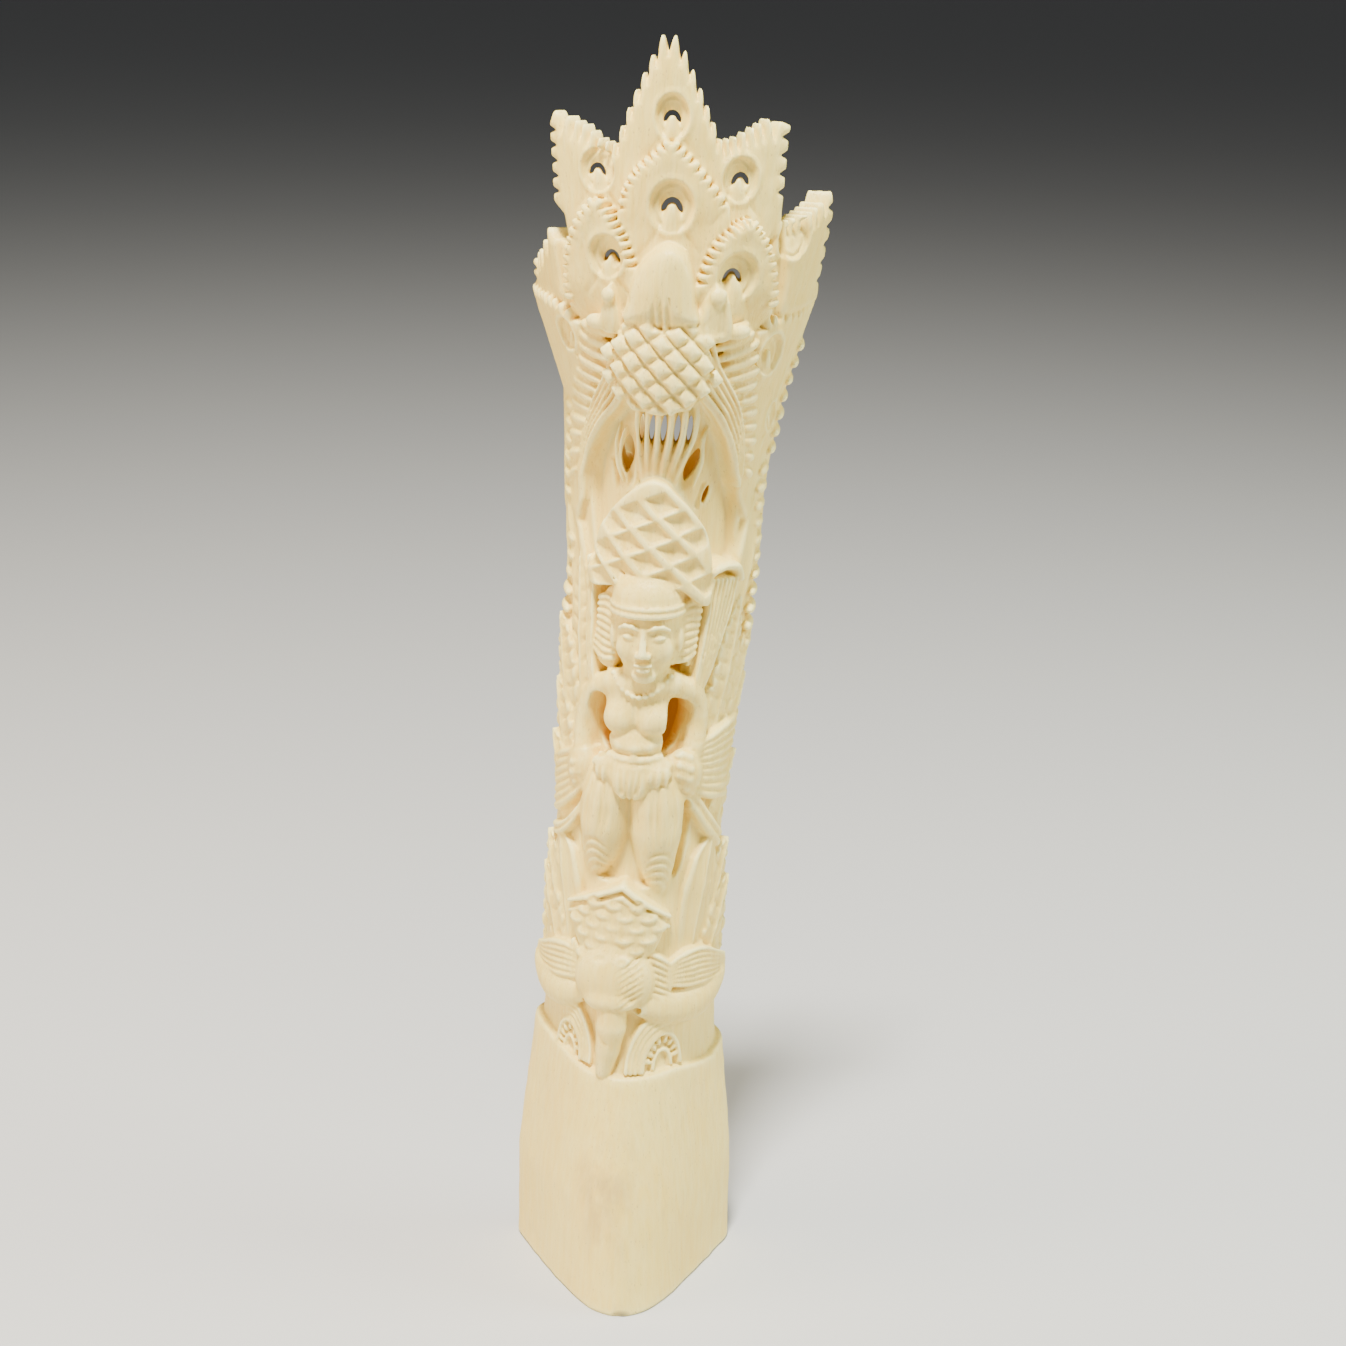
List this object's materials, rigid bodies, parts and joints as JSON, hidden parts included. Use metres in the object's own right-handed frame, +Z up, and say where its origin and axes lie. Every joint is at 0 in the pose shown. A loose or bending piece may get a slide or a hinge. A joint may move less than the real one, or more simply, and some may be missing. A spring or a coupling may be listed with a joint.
{
  "type": "bone totem carving",
  "caption": "Tall hollow bone carving that flares into a crown of toothed leaves, with a pineapple boss, a goddess in a cone hat, side blades, a scale basket, scrolls and a plain foot.",
  "frame": {"origin": "centre of the bounding box's base", "axes": "+Z up along the bone, the carved front faces -Y, +X on the viewer's right"},
  "size_m": [0.0638, 0.0498, 0.28],
  "materials": {
    "bone": "warm ivory bone, satin on the plain foot, chalky in the cuts"
  },
  "bodies": {
    "root": {"bone_carving": "bone"}
  },
  "joints": []
}
